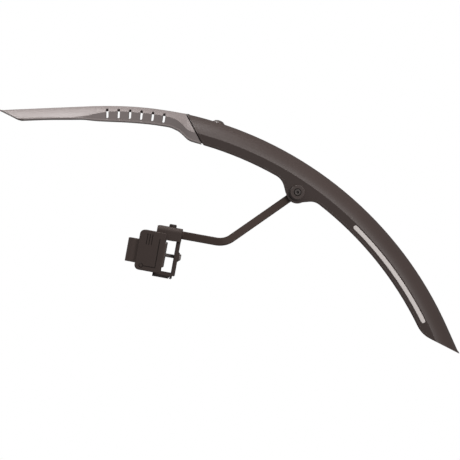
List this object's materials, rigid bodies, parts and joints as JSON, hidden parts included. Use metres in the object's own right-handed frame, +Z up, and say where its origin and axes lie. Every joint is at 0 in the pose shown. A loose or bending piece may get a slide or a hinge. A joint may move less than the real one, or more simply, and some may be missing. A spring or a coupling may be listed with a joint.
{
  "type": "bicycle mudguard",
  "caption": "Clip-on front mudguard: arched blade, slide-out nose piece, side reflectors and bent swing struts ending in fork-leg clamps.",
  "frame": {"origin": "halfway between the two fork-leg clamps, on the blade's centre plane, at the level of the tension screws", "axes": "+X to the back of the bicycle, +Y to its right side, +Z up"},
  "size_m": [0.5059, 0.158, 0.2727],
  "materials": {
    "guard_plastic": "fine satin moulded",
    "extension_plastic": "satin moulded, mid grey",
    "reflective_strip": "silver grey retroreflective",
    "clamp_plastic": "fine matt moulded",
    "strut_metal": "dark anodised, satin",
    "pad_rubber": "matt",
    "dark_fastener": "black oxide",
    "steel_fastener": "zinc plated"
  },
  "bodies": {
    "guard": {"main_guard": "guard_plastic", "left_reflector": "reflective_strip", "right_reflector": "reflective_strip", "length_lock_screw": "dark_fastener", "length_lock_nut": "steel_fastener", "left_pivot_screw": "dark_fastener", "left_pivot_washer": "steel_fastener", "left_pivot_nut": "steel_fastener", "right_pivot_screw": "dark_fastener", "right_pivot_washer": "steel_fastener", "right_pivot_nut": "steel_fastener"},
    "extension": {"front_extension": "extension_plastic"},
    "left_arm": {"left_strut": "strut_metal", "left_clamp_bracket": "clamp_plastic", "left_grip_pad": "pad_rubber", "left_strut_lock_screw": "dark_fastener", "left_strut_lock_nut": "steel_fastener"},
    "left_band": {"left_clamp_band": "clamp_plastic", "left_band_yoke": "steel_fastener"},
    "left_tension": {"left_tension_screw": "dark_fastener"},
    "right_arm": {"right_strut": "strut_metal", "right_clamp_bracket": "clamp_plastic", "right_grip_pad": "pad_rubber", "right_strut_lock_screw": "dark_fastener", "right_strut_lock_nut": "steel_fastener"},
    "right_band": {"right_clamp_band": "clamp_plastic", "right_band_yoke": "steel_fastener"},
    "right_tension": {"right_tension_screw": "dark_fastener"}
  },
  "joints": [
    {"name": "extension_slide", "type": "hinge", "parent": "guard", "child": "extension", "pos_m": [-0.0414, 0, -0.2496], "axis": [0, 1, 0], "range_deg": [-9, 0]},
    {"name": "left_strut_pivot", "type": "hinge", "parent": "guard", "child": "left_arm", "pos_m": [0.1691, -0.0194, 0.0652], "axis": [0, 1, 0], "range_deg": [-6.5, 6.5]},
    {"name": "left_band_slide", "type": "slide", "parent": "left_arm", "child": "left_band", "axis": [0.9839, 0, -0.1788], "range_m": [0, 0.005]},
    {"name": "left_tension_turn", "type": "hinge", "parent": "left_arm", "child": "left_tension", "pos_m": [0.00012, -0.058, 0.00064], "axis": [-0.9839, 0, 0.1788], "range_deg": [0, 2575]},
    {"name": "right_strut_pivot", "type": "hinge", "parent": "guard", "child": "right_arm", "pos_m": [0.1691, 0.0194, 0.0652], "axis": [0, 1, 0], "range_deg": [-6.5, 6.5]},
    {"name": "right_band_slide", "type": "slide", "parent": "right_arm", "child": "right_band", "axis": [0.9839, 0, -0.1788], "range_m": [0, 0.005]},
    {"name": "right_tension_turn", "type": "hinge", "parent": "right_arm", "child": "right_tension", "pos_m": [0.00012, 0.058, 0.00064], "axis": [-0.9839, 0, 0.1788], "range_deg": [0, 2575]}
  ],
  "couplings": [
    {"joint": "left_tension_turn", "follows": "left_band_slide", "rad_per_m": 8976},
    {"joint": "right_tension_turn", "follows": "right_band_slide", "rad_per_m": 8976}
  ]
}
